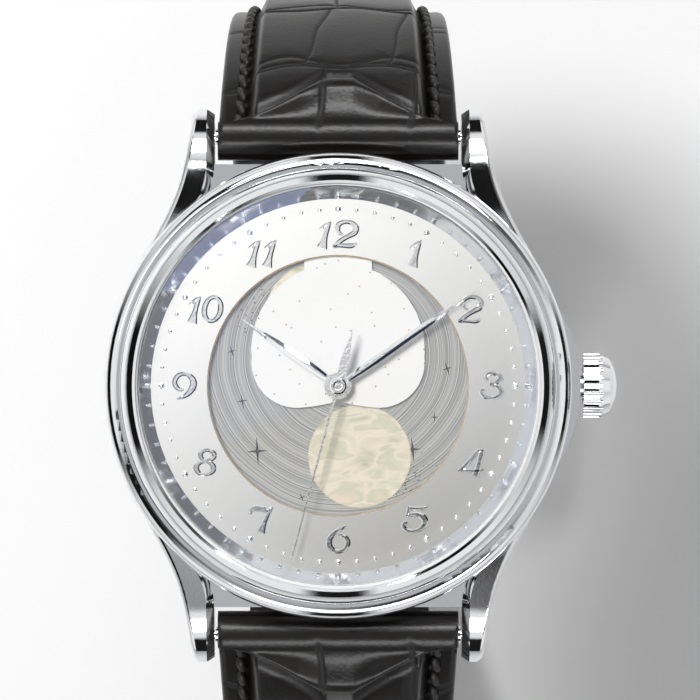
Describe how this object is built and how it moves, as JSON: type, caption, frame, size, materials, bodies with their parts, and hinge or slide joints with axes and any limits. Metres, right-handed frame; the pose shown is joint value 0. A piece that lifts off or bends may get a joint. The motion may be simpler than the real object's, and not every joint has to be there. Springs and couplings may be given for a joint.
{
  "type": "moon phase wrist watch",
  "caption": "Round steel automatic wristwatch with a moon disc under an open silver dial, leaf hands, fluted crown and a leather strap with a pin buckle.",
  "frame": {"origin": "centre of the case back's outer face", "axes": "+Z out of the dial, +Y towards 12 o'clock, +X towards 3 o'clock and the crown"},
  "size_m": [0.0459, 0.0781, 0.0863],
  "materials": {
    "polished_steel": "mirror polished stainless steel",
    "sapphire": "domed sapphire with a bluish anti-reflection coat",
    "seal_rubber": "moulded nitrile",
    "silver_dial": "satin silvered dial",
    "white_sky_plate": "white satin with fine specks",
    "engraved_silver": "finely grooved silver",
    "pearl_shell": "polished shell inlay with cloudy bands",
    "holder_plastic": "moulded holder ring",
    "plated_plate": "nickel plated brass, circular grained",
    "gilt_wheel": "gilt brass",
    "hardened_steel": "hardened and polished steel",
    "blued_spring": "heat blued spring steel",
    "ruby": "polished synthetic ruby",
    "rotor_weight": "straight grained weight",
    "alligator_leather": "glazed dark brown alligator grain"
  },
  "bodies": {
    "root": {"back_glass": "sapphire", "back_seal": "seal_rubber", "balance_cock": "plated_plate", "barrel_arbor": "hardened_steel", "barrel_bridge": "plated_plate", "bezel": "polished_steel", "bridge_screws": "hardened_steel", "case_back": "polished_steel", "case_middle": "polished_steel", "crown_tube": "polished_steel", "crystal": "sapphire", "crystal_gasket": "seal_rubber", "dial": "silver_dial", "inner_flange": "polished_steel", "jewels": "ruby", "main_plate": "plated_plate", "moon_plate": "plated_plate", "movement_ring": "holder_plastic", "pallet_bridge": "plated_plate", "rotor_post": "polished_steel", "sky_plate": "white_sky_plate", "spring_bars": "polished_steel", "train_bridge": "plated_plate"},
    "minute_train": {"centre_wheel": "gilt_wheel", "cannon_pinion": "gilt_wheel", "minute_hand": "polished_steel"},
    "hour_train": {"hour_wheel": "gilt_wheel", "hour_hand": "polished_steel"},
    "minute_wheel_body": {"minute_wheel": "gilt_wheel"},
    "third_wheel_body": {"third_wheel": "gilt_wheel"},
    "seconds_train": {"fourth_wheel": "gilt_wheel", "seconds_hand": "polished_steel"},
    "escape_wheel_body": {"escape_wheel": "gilt_wheel"},
    "barrel_body": {"barrel": "gilt_wheel", "barrel_cover": "gilt_wheel", "mainspring": "hardened_steel"},
    "fork_body": {"pallet_fork": "hardened_steel"},
    "balance_body": {"balance_wheel": "gilt_wheel", "hairspring": "blued_spring"},
    "moon_body": {"moon_disc": "engraved_silver", "moon_inlays": "pearl_shell"},
    "rotor_body": {"rotor": "rotor_weight"},
    "stem_slide": {"setting_lever": "hardened_steel"},
    "crown_body": {"crown": "polished_steel", "crown_seal": "seal_rubber", "winding_stem": "hardened_steel"},
    "strap_long_body": {"strap_long": "alligator_leather"},
    "strap_short_body": {"strap_short": "alligator_leather", "fixed_keeper": "alligator_leather"},
    "keeper_body": {"sliding_keeper": "alligator_leather"},
    "buckle_body": {"buckle_frame": "polished_steel", "buckle_bar": "polished_steel"},
    "tang_body": {"buckle_tang": "polished_steel"}
  },
  "joints": [
    {"name": "minute_hand_turn", "type": "hinge", "parent": "root", "child": "minute_train", "pos_m": [0, 0, 0.00406], "axis": [0, 0, -1], "continuous": true},
    {"name": "hour_hand_turn", "type": "hinge", "parent": "root", "child": "hour_train", "pos_m": [0, 0, 0.00561], "axis": [0, 0, -1], "continuous": true},
    {"name": "minute_wheel_turn", "type": "hinge", "parent": "root", "child": "minute_wheel_body", "pos_m": [-0.00304, 0.00111, 0.00538], "axis": [0, 0, -1], "continuous": true},
    {"name": "third_wheel_turn", "type": "hinge", "parent": "root", "child": "third_wheel_body", "pos_m": [-0.00453, -0.00453, 0.00339], "axis": [0, 0, -1], "continuous": true},
    {"name": "seconds_hand_turn", "type": "hinge", "parent": "root", "child": "seconds_train", "pos_m": [0, 0, 0.00312], "axis": [0, 0, -1], "continuous": true},
    {"name": "escape_wheel_turn", "type": "hinge", "parent": "root", "child": "escape_wheel_body", "pos_m": [0.00403, -0.0048, 0.00433], "axis": [0, 0, -1], "continuous": true},
    {"name": "barrel_turn", "type": "hinge", "parent": "root", "child": "barrel_body", "pos_m": [0.00167, 0.00622, 0.00339], "axis": [0, 0, -1], "continuous": true},
    {"name": "pallet_fork_rock", "type": "hinge", "parent": "root", "child": "fork_body", "pos_m": [0.00632, -0.00365, 0.00433], "axis": [0, 0, 1], "range_deg": [-5, 5]},
    {"name": "balance_swing", "type": "hinge", "parent": "root", "child": "balance_body", "pos_m": [0.00822, -0.00175, 0.00339], "axis": [0, 0, 1], "range_deg": [-270, 270]},
    {"name": "moon_disc_turn", "type": "hinge", "parent": "root", "child": "moon_body", "pos_m": [0, 0, 0.00607], "axis": [0, 0, -1], "continuous": true},
    {"name": "rotor_turn", "type": "hinge", "parent": "root", "child": "rotor_body", "pos_m": [0, 0, 0.00135], "axis": [0, 0, 1], "continuous": true},
    {"name": "crown_pull", "type": "slide", "parent": "root", "child": "stem_slide", "axis": [1, 0, 0], "range_m": [0, 0.0015]},
    {"name": "crown_turn", "type": "hinge", "parent": "stem_slide", "child": "crown_body", "pos_m": [0.02195, 0, 0.00474], "axis": [1, 0, 0], "continuous": true},
    {"name": "strap_long_hinge", "type": "hinge", "parent": "root", "child": "strap_long_body", "pos_m": [0, -0.0224, 0.00275], "axis": [-1, 0, 0], "range_deg": [0, 50]},
    {"name": "strap_short_hinge", "type": "hinge", "parent": "root", "child": "strap_short_body", "pos_m": [0, 0.0224, 0.00275], "axis": [1, 0, 0], "range_deg": [0, 50]},
    {"name": "keeper_slide", "type": "hinge", "parent": "strap_short_body", "child": "keeper_body", "pos_m": [0, 0.00422, -0.02192], "axis": [1, 0, 0], "range_deg": [0, 20]},
    {"name": "buckle_hinge", "type": "hinge", "parent": "strap_short_body", "child": "buckle_body", "pos_m": [0, 0.00568, -0.05239], "axis": [1, 0, 0], "range_deg": [-60, 20]},
    {"name": "tang_hinge", "type": "hinge", "parent": "buckle_body", "child": "tang_body", "pos_m": [0, 0.00568, -0.05239], "axis": [1, 0, 0], "range_deg": [0, 90]}
  ],
  "couplings": [
    {"joint": "hour_hand_turn", "follows": "minute_hand_turn", "ratio": 0.083333},
    {"joint": "minute_wheel_turn", "follows": "minute_hand_turn", "ratio": -0.33333},
    {"joint": "third_wheel_turn", "follows": "minute_hand_turn", "ratio": -7.5},
    {"joint": "seconds_hand_turn", "follows": "minute_hand_turn", "ratio": 60},
    {"joint": "escape_wheel_turn", "follows": "minute_hand_turn", "ratio": -600},
    {"joint": "barrel_turn", "follows": "minute_hand_turn", "ratio": -0.16667}
  ]
}
